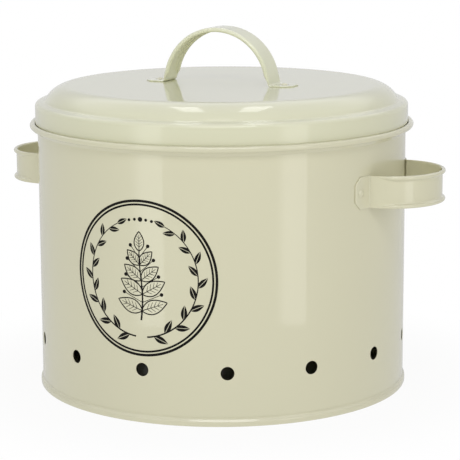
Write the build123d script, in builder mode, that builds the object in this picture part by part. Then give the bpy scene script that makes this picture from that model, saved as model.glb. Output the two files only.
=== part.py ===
"""A round sheet-steel storage bin with a lift-off lid and riveted strap handles.

Millimetres. +Z is up and the origin is the centre of the ring that the bin stands on.
The side handles lie on the X axis, and the front of the bin faces -Y.
"""

import os
from math import asin, cos, degrees, isclose, radians, sin, sqrt

from build123d import *

os.makedirs("parts", exist_ok=True)

# Can: a rolled sheet cylinder, its rim flared and curled outwards, its foot folded back up
can_radius = 120.0
can_sheet = 0.6
rim_height = 173.3
rim_flare = 1.7
rim_flare_start = 6.1
rim_flare_end = 3.7
rim_flare_foot_bend = 2.0
rim_flare_top_bend = 1.2
curl_diameter = 3.9
curl_opening = 70.0
hem_height = 2.2
hem_thickness = 0.6

# Vent holes, one row round the foot of the can
vent_count = 14
vent_diameter = 8.4
vent_height = 33.5

# Bottom pan, its edge folded round the hem of the can
pan_sheet = 0.6
pan_floor_height = 4.0
pan_floor_bend = 1.5
seam_height = 4.8
seam_belly_height = 3.2
seam_belly_bend = 1.6
seam_lip_round = 0.4
seam_clearance = 0.05

# Lid: the skirt rests inside the crest of the curled rim, and a neck drops inside the can
lid_sheet = 0.6
skirt_inset = 1.65
skirt_height = 13.4
skirt_foot_round = 0.9
ledge_round = 2.7
ledge_width = 6.1
ledge_rise = 1.3
ledge_hollow = 2.0
slope_width = 6.1
slope_rise = 9.8
crown_round = 18.0
neck_depth = 9.3
neck_round = 0.6
neck_clearance = 0.5
rim_gap = 0.3

# Lid handle: an arched strap with edges rolled inwards and two flat feet
arch_radius = 37.5
arch_rise = 36.7
arch_width = 19.2
arch_sheet = 0.8
arch_bead_diameter = 2.9
arch_bead_tip_diameter = 1.0
arch_bead_start_angle = 4.0
arch_bead_full_angle = 13.0
arch_edge_round = 0.6
arch_foot_length = 14.7
arch_foot_bend = 2.0
arch_foot_corner = 5.0
arch_rivet_from_leg = 7.0

# Side handles: bowed straps with rolled edges, their feet curved to the can
handle_drop = 35.3
bow_radius = 35.0
bow_leg = 0.1
strap_height = 20.3
strap_sheet = 0.8
bead_diameter = 2.6
bead_tip_diameter = 1.0
bead_start_angle = 85.0
bead_full_angle = 60.0
strap_edge_round = 0.6
foot_length = 12.5
foot_corner = 4.5
foot_bend = 0.8
foot_gap = 0.05
rivet_from_leg = 7.5

# Rivets
rivet_shank_radius = 1.2
rivet_hole_clearance = 0.05
rivet_head_radius = 2.3
rivet_head_height = 1.0
rivet_head_dome = 0.8
rivet_tail_radius = 2.0
rivet_tail_height = 0.7

# Places that follow from the sizes above
can_bore = can_radius - can_sheet
can_foot_height = pan_sheet + seam_clearance
rim_bore = can_bore + rim_flare
curl_radius = curl_diameter / 2
curl_centre_radius = rim_bore + curl_radius
curl_centre_height = rim_height - curl_radius
curl_centre = Vector(curl_centre_radius, curl_centre_height)
curl_mouth = curl_centre + Vector(curl_diameter, 0).rotate(Axis.Z, 180 + curl_opening)
rivet_hole_radius = rivet_shank_radius + rivet_hole_clearance

skirt_radius = curl_centre_radius - skirt_inset
skirt_foot_centre = skirt_radius - skirt_foot_round
rim_reach = curl_radius + skirt_foot_round + rim_gap
rim_rise = sqrt(rim_reach**2 - (curl_centre_radius - skirt_foot_centre) ** 2)
lid_seat_height = curl_centre_height + rim_rise - skirt_foot_round
neck_radius = can_bore - neck_clearance
ledge_height = lid_seat_height + skirt_height
slope_radius = skirt_radius - ledge_width
crown_radius = slope_radius - slope_width
lid_top = ledge_height + ledge_rise + slope_rise

arch_inside = arch_radius - arch_sheet
arch_centre_height = lid_top + arch_rise - arch_radius
arch_leg_inside = sqrt(arch_inside**2 - (lid_top - arch_centre_height) ** 2)
arch_leg_outside = sqrt(arch_radius**2 - (lid_top + arch_sheet - arch_centre_height) ** 2)
arch_foot_tip = arch_radius + arch_foot_length
arch_rivet_x = arch_radius + arch_rivet_from_leg

handle_height = rim_height - handle_drop
foot_inside = can_radius + foot_gap
foot_outside = foot_inside + strap_sheet
bow_inside = bow_radius - strap_sheet
bow_centre = sqrt(foot_inside**2 - bow_radius**2) + bow_leg
leg_angle = degrees(asin(bow_radius / foot_inside))
foot_start_angle = degrees(asin((bow_radius - strap_sheet / 2) / foot_inside))
foot_end_angle = leg_angle + degrees(foot_length / foot_inside)
rivet_angle = leg_angle + degrees(rivet_from_leg / foot_inside)


def radial_plane(angle, radius):
    """A plane at handle height that faces outwards from the can at an angle round it."""
    outward = Vector(cos(radians(angle)), sin(radians(angle)), 0)
    return Plane(origin=outward * radius + Vector(0, 0, handle_height), z_dir=outward)


def make_rivet(head_seat, grip):
    """A domed rivet: the head stands on the plane, and the tail lies a grip below it."""
    with BuildPart() as rivet:
        with BuildSketch(head_seat):
            Circle(rivet_head_radius)
        extrude(amount=rivet_head_height)
        head_rim = rivet.edges().sort_by(Axis(head_seat.origin, head_seat.z_dir))[-1]
        fillet(head_rim, radius=rivet_head_dome)
        with BuildSketch(head_seat):
            Circle(rivet_shank_radius)
        extrude(amount=-grip)
        with BuildSketch(head_seat.offset(-grip)):
            Circle(rivet_tail_radius)
        extrude(amount=-rivet_tail_height)
    return rivet


side_rivet_angles = {
    "left_front": 180 + rivet_angle,
    "left_back": 180 - rivet_angle,
    "right_front": -rivet_angle,
    "right_back": rivet_angle,
}

# Can wall
with BuildPart() as can_wall:
    with BuildSketch(Plane.XZ):
        with Locations(curl_centre):
            Circle(curl_radius)
            Circle(curl_radius - can_sheet, mode=Mode.SUBTRACT)
        with BuildLine():
            Polyline(curl_centre, (can_bore - curl_radius, curl_centre_height), curl_mouth, close=True)
        make_face(mode=Mode.SUBTRACT)
        with BuildLine():
            FilletPolyline(
                (can_bore, can_foot_height),
                (can_bore, rim_height - rim_flare_start),
                (rim_bore, rim_height - rim_flare_end),
                (rim_bore, curl_centre_height),
                radius=(rim_flare_foot_bend, rim_flare_top_bend),
            )
            offset(amount=can_sheet, side=Side.RIGHT)
        make_face()
        with Locations((can_radius, can_foot_height)):
            Rectangle(hem_thickness, hem_height, align=(Align.MIN, Align.MIN))
    revolve(axis=Axis.Z)
    with Locations(Plane.XY.offset(vent_height)):
        with PolarLocations(can_radius, vent_count, start_angle=-90):
            Cylinder(vent_diameter / 2, 6 * can_sheet, rotation=(0, 90, 0), mode=Mode.SUBTRACT)
    with Locations(*[radial_plane(angle, can_radius) for angle in side_rivet_angles.values()]):
        Hole(rivet_hole_radius, depth=2 * can_sheet)
can_wall.part.label = "can_wall"
export_step(can_wall.part, "parts/can_wall.step")

# Bottom pan: its floor, the leg inside the can, the fold under it and the lip outside it
pan_leg_radius = can_bore - seam_clearance
seam_inside = can_radius + hem_thickness + seam_clearance
with BuildPart() as bottom_pan:
    with BuildSketch(Plane.XZ) as pan_profile:
        with BuildLine():
            FilletPolyline(
                (0, pan_floor_height),
                (pan_leg_radius, pan_floor_height),
                (pan_leg_radius, pan_sheet),
                (seam_inside, pan_sheet),
                (seam_inside, seam_belly_height),
                (can_radius + seam_clearance, seam_height),
                radius=(pan_floor_bend, 0, 0, seam_belly_bend),
            )
            offset(amount=pan_sheet, side=Side.RIGHT)
        make_face()
        lip_corner = pan_profile.vertices().sort_by(Axis.Y)[-1]
        fillet(lip_corner, radius=seam_lip_round)
    revolve(axis=Axis.Z)
bottom_pan.part.label = "bottom_pan"
export_step(bottom_pan.part, "parts/bottom_pan.step")

# Lid shell
with BuildPart() as lid_shell:
    with BuildSketch(Plane.XZ):
        with BuildLine():
            FilletPolyline(
                (0, lid_top),
                (crown_radius, lid_top),
                (slope_radius, ledge_height + ledge_rise),
                (skirt_radius, ledge_height),
                (skirt_radius, lid_seat_height),
                (neck_radius, lid_seat_height),
                (neck_radius, lid_seat_height - neck_depth),
                radius=(crown_round, ledge_hollow, ledge_round, skirt_foot_round, neck_round),
            )
            offset(amount=lid_sheet, side=Side.RIGHT)
        make_face()
    revolve(axis=Axis.Z)
    with Locations((arch_rivet_x, 0, lid_top), (-arch_rivet_x, 0, lid_top)):
        Hole(rivet_hole_radius, depth=2 * lid_sheet)
lid_shell.part.label = "lid_shell"
export_step(lid_shell.part, "parts/lid_shell.step")

# Lid handle: the arch and its feet in outline, then its width, its corners and its rolled edges
arch_top_bend = (arch_leg_outside, lid_top + arch_sheet)
arch_low_bend = (arch_leg_inside, lid_top)
arch_bends = ((arch_top_bend, arch_foot_bend - arch_sheet), (arch_low_bend, arch_foot_bend))
arch_bead_offset = (arch_width - arch_bead_diameter) / 2


def arch_bead_plane(angle, diameter, offset_y):
    """A plane square to the arch at an angle round it, centred on a bead of this diameter."""
    outward = Vector(cos(radians(angle)), 0, sin(radians(angle)))
    arch_middle = Vector(0, offset_y, arch_centre_height)
    along = outward.rotate(Axis.Y, -90)
    return Plane(origin=arch_middle + outward * (arch_radius - diameter / 2), x_dir=outward, z_dir=along)


with BuildPart() as lid_handle:
    with BuildSketch(Plane.XZ) as arch_outline:
        with Locations((0, arch_centre_height)):
            Circle(arch_radius)
            Circle(arch_inside, mode=Mode.SUBTRACT)
        with Locations((0, lid_top)):
            Rectangle(3 * arch_radius, 2 * arch_radius, align=(Align.CENTER, Align.MAX), mode=Mode.SUBTRACT)
        for end in (1, -1):
            with Locations((end * (arch_leg_inside + arch_foot_tip) / 2, lid_top)):
                Rectangle(arch_foot_tip - arch_leg_inside, arch_sheet, align=(Align.CENTER, Align.MIN))
            for (x, z), radius in arch_bends:
                corner = arch_outline.vertices().sort_by_distance((end * x, z))[0]
                fillet(corner, radius=radius)
    extrude(amount=arch_width / 2, both=True)
    arcs = lid_handle.edges().filter_by(GeomType.CIRCLE)
    fillet(arcs.filter_by(lambda arc: isclose(arc.radius, arch_radius)), radius=arch_edge_round)
    with BuildSketch(Plane.XY.offset(lid_top)) as foot_plan:
        Rectangle(2 * arch_foot_tip, arch_width)
        chamfer(foot_plan.vertices(), length=arch_foot_corner)
    extrude(amount=arch_rise, mode=Mode.INTERSECT)
    for bead_y in (arch_bead_offset, -arch_bead_offset):
        for start, full in (
            (arch_bead_start_angle, arch_bead_full_angle),
            (180 - arch_bead_start_angle, 180 - arch_bead_full_angle),
        ):
            with BuildLine(Plane.XZ.offset(-bead_y)) as taper_path:
                CenterArc((0, arch_centre_height), arch_radius, start, full - start)
            with BuildSketch(arch_bead_plane(start, arch_bead_tip_diameter, bead_y)):
                Circle(arch_bead_tip_diameter / 2)
            with BuildSketch(arch_bead_plane(full, arch_bead_diameter, bead_y)):
                Circle(arch_bead_diameter / 2)
            sweep(path=taper_path.line, multisection=True)
        with BuildSketch(arch_bead_plane(arch_bead_full_angle, arch_bead_diameter, bead_y)):
            Circle(arch_bead_diameter / 2)
        bead_axis = Axis((0, 0, arch_centre_height), (0, -1, 0))
        revolve(axis=bead_axis, revolution_arc=180 - 2 * arch_bead_full_angle)
    with Locations((arch_rivet_x, 0, lid_top), (-arch_rivet_x, 0, lid_top)):
        Hole(rivet_hole_radius, depth=2 * arch_sheet)
lid_handle.part.label = "lid_handle"
export_step(lid_handle.part, "parts/lid_handle.step")

# Side handle on +X: the strap in plan, raised to its height, then its corners and rolled edges
outer_bend = (sqrt(foot_outside**2 - bow_radius**2), bow_radius)
inner_bend = (sqrt(foot_inside**2 - bow_inside**2), bow_inside)
foot_tip = foot_outside * sin(radians(foot_end_angle))
bead_rise = (strap_height - bead_diameter) / 2


def bead_plane(angle, diameter, height):
    """A plane square to the bow at an angle round it, centred on a bead of this diameter."""
    outward = Vector(cos(radians(angle)), sin(radians(angle)), 0)
    bow_middle = Vector(bow_centre, 0, height)
    along = outward.rotate(Axis.Z, 90)
    return Plane(origin=bow_middle + outward * (bow_inside + diameter / 2), x_dir=outward, z_dir=along)


with BuildPart() as side_handle_right:
    with BuildSketch(Plane.XY.offset(handle_height)) as strap_plan:
        with Locations((bow_centre, 0)):
            Circle(bow_radius)
            Rectangle(bow_centre, 2 * bow_radius, align=(Align.MAX, Align.CENTER))
            Circle(bow_inside, mode=Mode.SUBTRACT)
            Rectangle(bow_centre, 2 * bow_inside, align=(Align.MAX, Align.CENTER), mode=Mode.SUBTRACT)
        Circle(foot_inside, mode=Mode.SUBTRACT)
        for end, outer_side in ((1, Side.RIGHT), (-1, Side.LEFT)):
            with BuildLine():
                foot_arc = foot_end_angle - foot_start_angle
                CenterArc((0, 0), foot_inside, end * foot_start_angle, end * foot_arc)
                offset(amount=strap_sheet, side=outer_side)
            make_face()
            for (x, y), radius in ((outer_bend, foot_bend), (inner_bend, foot_bend + strap_sheet)):
                corner = strap_plan.vertices().sort_by_distance((x, end * y))[0]
                fillet(corner, radius=radius)
    extrude(amount=strap_height / 2, both=True)
    arcs = side_handle_right.edges().filter_by(GeomType.CIRCLE)
    fillet(arcs.filter_by(lambda arc: isclose(arc.radius, bow_inside)), radius=strap_edge_round)
    with BuildSketch(Plane.YZ) as foot_outline:
        with Locations((0, handle_height)):
            Rectangle(2 * foot_tip, strap_height)
        chamfer(foot_outline.vertices(), length=foot_corner)
    extrude(amount=bow_centre + bow_radius, mode=Mode.INTERSECT)
    for bead_height in (handle_height - bead_rise, handle_height + bead_rise):
        for end in (1, -1):
            with BuildLine(Plane.XY.offset(bead_height)) as taper_path:
                taper_arc = bead_full_angle - bead_start_angle
                CenterArc((bow_centre, 0), bow_inside, end * bead_start_angle, end * taper_arc)
            with BuildSketch(bead_plane(end * bead_start_angle, bead_tip_diameter, bead_height)):
                Circle(bead_tip_diameter / 2)
            with BuildSketch(bead_plane(end * bead_full_angle, bead_diameter, bead_height)):
                Circle(bead_diameter / 2)
            sweep(path=taper_path.line, multisection=True)
        with BuildSketch(bead_plane(-bead_full_angle, bead_diameter, bead_height)):
            Circle(bead_diameter / 2)
        revolve(axis=Axis((bow_centre, 0, 0), (0, 0, 1)), revolution_arc=2 * bead_full_angle)
    with Locations(radial_plane(rivet_angle, foot_outside), radial_plane(-rivet_angle, foot_outside)):
        Hole(rivet_hole_radius, depth=2 * strap_sheet)
side_handle_right.part.label = "side_handle_right"
export_step(side_handle_right.part, "parts/side_handle_right.step")

# Side handle on -X: the same strap turned over to the other side
with BuildPart() as side_handle_left:
    mirror(side_handle_right.part, about=Plane.YZ)
side_handle_left.part.label = "side_handle_left"
export_step(side_handle_left.part, "parts/side_handle_left.step")

# Side rivets: each tail lies flat across the hollow of the can, so its edge sets the grip
tail_seat_radius = sqrt(can_bore**2 - rivet_tail_radius**2)
for place, angle in side_rivet_angles.items():
    side_rivet = make_rivet(radial_plane(angle, foot_outside), foot_outside - tail_seat_radius)
    side_rivet.part.label = f"rivet_{place}"
    export_step(side_rivet.part, f"parts/rivet_{place}.step")

# Lid rivets
for place, x in (("left", -arch_rivet_x), ("right", arch_rivet_x)):
    foot_top = Plane.XY.offset(lid_top + arch_sheet).shift_origin((x, 0, lid_top + arch_sheet))
    lid_rivet = make_rivet(foot_top, arch_sheet + lid_sheet)
    lid_rivet.part.label = f"lid_rivet_{place}"
    export_step(lid_rivet.part, f"parts/lid_rivet_{place}.step")
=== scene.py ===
# %% [markdown]
# # A potato storage bin in cream enamel
# The bin is a rolled sheet-steel can with a lift-off lid, two strap handles, a lid handle and a
# row of vent holes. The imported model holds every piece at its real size. This file dresses it:
# fine meshes for the sheet metal, glossy paint, a printed front, soft studio light and a camera.

from math import asin, atan2, ceil, cos, hypot, inf, pi, radians, sin, sqrt, tan

import bmesh
import bpy
from mathutils import Matrix, Vector


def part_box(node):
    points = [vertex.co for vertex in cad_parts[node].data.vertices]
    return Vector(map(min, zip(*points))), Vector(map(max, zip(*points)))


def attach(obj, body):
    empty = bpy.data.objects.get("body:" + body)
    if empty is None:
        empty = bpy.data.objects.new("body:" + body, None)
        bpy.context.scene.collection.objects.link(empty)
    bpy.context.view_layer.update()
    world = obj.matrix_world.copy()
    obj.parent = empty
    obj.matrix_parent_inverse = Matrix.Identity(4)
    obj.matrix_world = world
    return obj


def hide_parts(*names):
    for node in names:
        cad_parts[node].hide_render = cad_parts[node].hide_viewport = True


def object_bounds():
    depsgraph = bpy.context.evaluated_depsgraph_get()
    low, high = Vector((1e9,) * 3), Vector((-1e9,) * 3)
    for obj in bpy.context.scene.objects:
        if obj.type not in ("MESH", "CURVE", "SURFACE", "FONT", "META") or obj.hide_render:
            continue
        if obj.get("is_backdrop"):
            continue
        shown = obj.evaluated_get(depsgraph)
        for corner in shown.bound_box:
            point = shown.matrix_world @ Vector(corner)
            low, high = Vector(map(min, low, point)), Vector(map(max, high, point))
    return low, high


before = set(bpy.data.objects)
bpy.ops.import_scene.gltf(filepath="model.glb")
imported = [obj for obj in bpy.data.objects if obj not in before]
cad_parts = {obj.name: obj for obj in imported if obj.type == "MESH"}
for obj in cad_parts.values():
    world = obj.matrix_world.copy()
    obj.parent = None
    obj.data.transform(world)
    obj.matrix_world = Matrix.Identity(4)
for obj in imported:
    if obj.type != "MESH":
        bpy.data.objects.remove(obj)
cad_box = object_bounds()
mm = 0.001

# %% [markdown]
# ## Sizes that come from the frame
# The main radii and heights are read from the imported solids, so the dressed pieces stay where the
# solids are. Only the small things a maker would choose, such as sheet gauge and bend radii, are
# given here.

# %% Measure the imported solids
def outline_radius(node, low=-inf, high=inf):
    """The largest distance from the axis of a node's mesh between two heights."""
    points = [v.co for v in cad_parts[node].data.vertices if low <= v.co.z <= high]
    return max(hypot(p.x, p.y) for p in points)


can_low, can_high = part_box("can_wall")
lid_low, lid_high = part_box("lid_shell")
strap_low, strap_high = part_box("side_handle_right")
arch_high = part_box("lid_handle")[1]

can_radius = outline_radius("can_wall", 0.1 * can_high.z, 0.5 * can_high.z)
seam_reach = outline_radius("bottom_pan")
skirt_radius = outline_radius("lid_shell")
foot = can_low.z
rim_height = can_high.z
lid_top = lid_high.z
for label, size in (("can radius", can_radius), ("rim height", rim_height), ("lid top", lid_top)):
    print(label, round(size / mm, 2), "mm")

# %% [markdown]
# ## Drawing a sheet-metal section
# Every round piece of the bin is a thin sheet turned round the axis, so each one starts as a
# line: corners with bend radii, drawn in the XZ plane. The sheet is that line and a second one
# a sheet's thickness away, joined round the cut edge. Arcs get a point every few degrees, and
# straight runs get a point close to each bend, so that smooth shading stays true.

# %% Lines with bends
ARC_STEP = radians(6)
BEND_GUARD = 0.12 * mm


def spread(start, end, count):
    """Evenly spaced values from start to end, both included."""
    return [start + (end - start) * i / count for i in range(count + 1)]


def arc_points(centre, radius, start, end, step=ARC_STEP):
    """Points along an arc, both ends included, from one angle to another."""
    angles = spread(start, end, max(2, ceil(abs(end - start) / step)))
    return [Vector((centre[0] + radius * cos(a), centre[1] + radius * sin(a))) for a in angles]


def bent_line(corners, bends):
    """A line through corners, with each inner corner rounded to its bend radius in mm."""
    corners = [Vector(corner) for corner in corners]
    line = [corners[0]]
    for before, corner, after, bend in zip(corners, corners[1:], corners[2:], bends):
        radius = bend * mm
        inward = (before - corner).normalized()
        outward = (after - corner).normalized()
        turn = inward.angle(outward)
        reach = radius / tan(turn / 2)
        centre = corner + (inward + outward).normalized() * (radius / sin(turn / 2))
        start = corner + inward * reach - centre
        end = corner + outward * reach - centre
        first = atan2(start.y, start.x)
        sweep = (atan2(end.y, end.x) - first + pi) % (2 * pi) - pi
        line.append(corner + inward * (reach + BEND_GUARD))
        line += arc_points(centre, radius, first, first + sweep)
        line.append(corner + outward * (reach + BEND_GUARD))
    line.append(corners[-1])
    return line


# %% From a line to a sheet
TIGHTEST_MITRE = 0.5
CUT_EDGE_STEP = radians(30)


def offset_line(line, distance):
    """The same line moved to its right by a distance."""
    moved = []
    for i, point in enumerate(line):
        before = line[max(i - 1, 0)]
        after = line[min(i + 1, len(line) - 1)]
        arrive = (point - before).normalized() if i else (after - point).normalized()
        leave = (after - point).normalized() if i < len(line) - 1 else arrive
        along = (arrive + leave).normalized()
        right = Vector((along.y, -along.x))
        moved.append(point + right * distance / max(arrive.dot(along), TIGHTEST_MITRE))
    return moved


def sheet_outline(line, sheet):
    """A sheet's outline: its drawn face, a half-round cut edge, then its other face back."""
    other = offset_line(line, sheet)
    middle = (line[-1] + other[-1]) / 2
    start = line[-1] - middle
    first = atan2(start.y, start.x)
    cut_edge = arc_points(middle, start.length, first, first - pi, CUT_EDGE_STEP)[1:-1]
    return line + cut_edge + other[::-1]


print("a 90 degree bend has", len(bent_line([(0, 0), (1, 0), (1, 1)], [0.2])), "points")

# %% [markdown]
# ## A lathe made of nodes
# Turning could be done with a Spin in mesh code or with a Screw modifier. Here a small Geometry
# Nodes tree does it: a grid has one row for each point of the outline and one column for each
# step round the axis, and every grid point is moved to its outline point, turned by its column.
# The tree is used again for the can, the pan, the lid and the rivets.

# %% Helpers that build a node tree
WELD = 0.002 * mm
CRISP_ANGLE = radians(50)


def new_tree(name, inputs):
    """An empty geometry tree with named inputs, and the sockets of those inputs."""
    tree = bpy.data.node_groups.new(name, "GeometryNodeTree")
    for label, kind in {"Geometry": "Geometry", **inputs}.items():
        tree.interface.new_socket(label, in_out="INPUT", socket_type="NodeSocket" + kind)
    tree.interface.new_socket("Geometry", in_out="OUTPUT", socket_type="NodeSocketGeometry")
    return tree, tree.nodes.new("NodeGroupInput").outputs


def add_node(tree, kind, links=(), **settings):
    """Adds a node, sets its properties, and fills its inputs with values or links."""
    node = tree.nodes.new(kind)
    for label, value in settings.items():
        setattr(node, label, value)
    for label, value in dict(links).items():
        if isinstance(value, bpy.types.NodeSocket):
            tree.links.new(value, node.inputs[label])
        else:
            node.inputs[label].default_value = value
    return node


def add(tree, kind, links=(), **settings):
    """Adds a node and gives back its first output."""
    return add_node(tree, kind, links, **settings).outputs[0]


def math(tree, operation, first, second=0.0):
    """The result of one sum."""
    return add(tree, "ShaderNodeMath", {0: first, 1: second}, operation=operation)


def shape_of(tree, chosen):
    """The shape of an object that is handed to a tree."""
    return add_node(tree, "GeometryNodeObjectInfo", {"Object": chosen}).outputs["Geometry"]


def joined(tree, shapes):
    """Several shapes as one."""
    join = tree.nodes.new("GeometryNodeJoinGeometry")
    for shape in shapes:
        tree.links.new(shape, join.inputs[0])
    return join.outputs[0]


def finish_tree(tree, geometry, paint):
    """Ends a tree: instances become real, faces smooth with crisp edges, and the paint goes on."""
    real = add(tree, "GeometryNodeRealizeInstances", {0: geometry})
    welded = add(tree, "GeometryNodeMergeByDistance", {"Geometry": real, "Distance": WELD})
    smooth = add(tree, "GeometryNodeSetShadeSmooth", {0: welded})
    turn = add(tree, "GeometryNodeInputMeshEdgeAngle")
    crisp = add(tree, "FunctionNodeCompare", {0: turn, 1: CRISP_ANGLE}, operation="GREATER_THAN")
    edges = {"Geometry": smooth, "Selection": crisp, "Shade Smooth": False}
    edged = add(tree, "GeometryNodeSetShadeSmooth", edges, domain="EDGE")
    painted = add(tree, "GeometryNodeSetMaterial", {"Geometry": edged, "Material": paint})
    tree.links.new(painted, tree.nodes.new("NodeGroupOutput").inputs[0])
    return tree


# %% The lathe tree
TURNS = 336


def turn_nodes(tree, outline, turns):
    """Turns an outline round Z into a sheet, inside a tree."""
    rows = add_node(tree, "GeometryNodeAttributeDomainSize", {0: outline}).outputs["Point Count"]
    columns = math(tree, "ADD", turns, 1.0)
    grid = add(tree, "GeometryNodeMeshGrid", {"Vertices X": rows, "Vertices Y": columns})
    index = add(tree, "GeometryNodeInputIndex")
    row = math(tree, "FLOOR", math(tree, "DIVIDE", math(tree, "ADD", index, 0.5), columns))
    column = math(tree, "SUBTRACT", index, math(tree, "MULTIPLY", row, columns))
    position = add(tree, "GeometryNodeInputPosition")
    sample = {"Geometry": outline, "Value": position, "Index": row}
    place = add(tree, "GeometryNodeSampleIndex", sample, data_type="FLOAT_VECTOR")
    angle = math(tree, "MULTIPLY", column, math(tree, "DIVIDE", 2 * pi, turns))
    turn = {"Vector": place, "Angle": angle}
    turned = add(tree, "ShaderNodeVectorRotate", turn, rotation_type="Z_AXIS")
    return add(tree, "GeometryNodeSetPosition", {"Geometry": grid, "Position": turned})


def lathe_tree():
    tree, given = new_tree("lathe", {"Turns": "Int", "Paint": "Material"})
    turned = turn_nodes(tree, given["Geometry"], given["Turns"])
    return finish_tree(tree, turned, given["Paint"])


lathe = lathe_tree()
print("the lathe has", len(lathe.nodes), "nodes")

# %% [markdown]
# ## From stock to a finished piece
# A tree works on stock: an outline, a flat tile or a set of points. Its result is kept as a plain
# mesh, welded, and turned to face outwards. The line that is then printed says how closed it is,
# so a gap in a closed piece shows here first.

# %% Stock, and running a tree on it
def new_object(name, data):
    """An object in the scene that holds a mesh, a lamp or a camera."""
    made = bpy.data.objects.new(name, data)
    bpy.context.scene.collection.objects.link(made)
    return made


def new_piece(name, points, edges=(), faces=()):
    """An object with a mesh of its own, from points and the edges or faces between them."""
    mesh = bpy.data.meshes.new(name)
    mesh.from_pydata(points, edges, faces)
    return new_object(name, mesh)


def line_object(name, line):
    """An outline in the XZ plane as a mesh of edges, the raw stock for the lathe."""
    edges = [(i, i + 1) for i in range(len(line) - 1)]
    return new_piece(name, [(point.x, 0, point.y) for point in line], edges)


def ring_faces(rings, count):
    """The faces between neighbouring rings of count points each."""
    return [
        (r * count + i, r * count + j, (r + 1) * count + j, (r + 1) * count + i)
        for r in range(rings - 1)
        for i, j in zip(range(count), [*range(1, count), 0])
    ]


def tidy_mesh(piece):
    """Welds doubles, turns faces outwards, and says how large and how closed the mesh is."""
    work = bmesh.new()
    work.from_mesh(piece.data)
    bmesh.ops.remove_doubles(work, verts=work.verts, dist=WELD)
    bmesh.ops.recalc_face_normals(work, faces=work.faces)
    open_edges = sum(not edge.is_manifold for edge in work.edges)
    triangles = sum(len(face.verts) - 2 for face in work.faces)
    volume = work.calc_volume(signed=True)
    work.to_mesh(piece.data)
    work.free()
    print(f"{piece.name}: {triangles} triangles, {open_edges} open edges, {volume * 1e6:.2f} cm3")
    return piece


def run_tree(stock, tree, values):
    """Runs a tree on stock, keeps the result as a plain mesh, and removes the other stock."""
    modifier = stock.modifiers.new(tree.name, "NODES")
    modifier.node_group = tree
    for item in tree.interface.items_tree:
        if item.in_out == "INPUT" and item.name in values:
            modifier[item.identifier] = values[item.name]
    bpy.context.view_layer.update()
    evaluated = stock.evaluated_get(bpy.context.evaluated_depsgraph_get())
    result = bpy.data.meshes.new_from_object(evaluated)
    stock.modifiers.clear()
    stock.data = result
    for used in values.values():
        if isinstance(used, bpy.types.Object):
            bpy.data.objects.remove(used)
    return tidy_mesh(stock)


# %% [markdown]
# ## Cream enamel
# Stove or spray enamel is a layer of pigment under a clear, wet-looking skin. The shader is built
# the same way: a coloured base that scatters light, and a coat that mirrors the room sharply.
# The skin is never optically flat, so a very fine bump gives it the slight orange peel that
# makes long reflections waver, and the colour drifts a little from place to place. The inside of
# the can has one thin coat, so its gloss stops at the cut edge of the vents.

# %% Helpers for shaders
def empty_tree(owner):
    """The node tree of a material or a world, cleared."""
    owner.use_nodes = True
    owner.node_tree.nodes.clear()
    return owner.node_tree


def map_range(tree, value, low, high, start=0.0, end=1.0, ease="LINEAR"):
    """A value that runs from low to high while the given one runs from start to end."""
    ranges = {"Value": value, "From Min": start, "From Max": end, "To Min": low, "To Max": high}
    return add(tree, "ShaderNodeMapRange", ranges, interpolation_type=ease)


def own_place(tree):
    """The place of a point on the piece, in the piece's own coordinates."""
    return add_node(tree, "ShaderNodeTexCoord").outputs["Object"]


def noise(tree, scale, detail):
    """A soft random value over the piece, from 0 to 1."""
    cloud = {"Vector": own_place(tree), "Scale": scale, "Detail": detail}
    return add(tree, "ShaderNodeTexNoise", cloud)


def distance(tree, place):
    """How far a place is from the origin."""
    return add_node(tree, "ShaderNodeVectorMath", {0: place}, operation="LENGTH").outputs["Value"]


# %% The enamel
DRIFT = 0.025
DRIFT_SCALE = 9.0
PIGMENT_ROUGHNESS = (0.30, 0.40)
PEEL = 0.35
PEEL_SCALE = 330.0
PEEL_DEPTH = 0.02 * mm
THIN_COAT = 0.08


def gloss_outside(tree, radius):
    """A coat weight that is full outside a radius from the axis, and thin within it."""
    level = {0: own_place(tree), 1: (1, 1, 0)}
    from_axis = add(tree, "ShaderNodeVectorMath", level, operation="MULTIPLY")
    outside = math(tree, "GREATER_THAN", distance(tree, from_axis), radius)
    return map_range(tree, outside, THIN_COAT, 1.0)


def enamel(name, colour, peel=PEEL, dull_within=0.0):
    """Glossy enamel. Nearer the axis than dull_within it is one thin coat with little gloss."""
    paint = bpy.data.materials.new(name)
    tree = empty_tree(paint)
    patches = noise(tree, DRIFT_SCALE, 2.0)
    tone = map_range(tree, patches, 1 - DRIFT, 1 + DRIFT)
    pigment = add(tree, "ShaderNodeVectorMath", {0: colour, "Scale": tone}, operation="SCALE")
    ripple = {"Height": noise(tree, PEEL_SCALE, 1.0), "Strength": peel, "Distance": PEEL_DEPTH}
    skin = add(tree, "ShaderNodeBump", ripple)
    layers = {
        "Base Color": pigment,
        "Roughness": map_range(tree, patches, *PIGMENT_ROUGHNESS),
        "Normal": skin,
        "Specular IOR Level": 0.25,
        "Coat Weight": gloss_outside(tree, dull_within) if dull_within else 1.0,
        "Coat Roughness": 0.05,
        "Coat IOR": 1.5,
        "Coat Normal": skin,
    }
    shader = add(tree, "ShaderNodeBsdfPrincipled", layers)
    add_node(tree, "ShaderNodeOutputMaterial", {"Surface": shader})
    return paint


CREAM = (0.652, 0.630, 0.452)
LID_CREAM = (0.690, 0.686, 0.497)
# Partly painted light: the lid handle's cream is made paler than the lid's to stand in for the
# light its legs and underside lack.
LID_HANDLE_LIT_CREAM = (0.765, 0.773, 0.575)
cream_enamel = enamel("cream_enamel", CREAM)
lid_enamel = enamel("lid_enamel", LID_CREAM)
lid_handle_lit_enamel = enamel("lid_handle_lit_enamel", LID_HANDLE_LIT_CREAM, peel=0.05)
can_enamel = enamel("can_enamel", CREAM, dull_within=can_radius - 0.3 * mm)
print("paints:", [p.name for p in (cream_enamel, lid_enamel, lid_handle_lit_enamel, can_enamel)])

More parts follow.
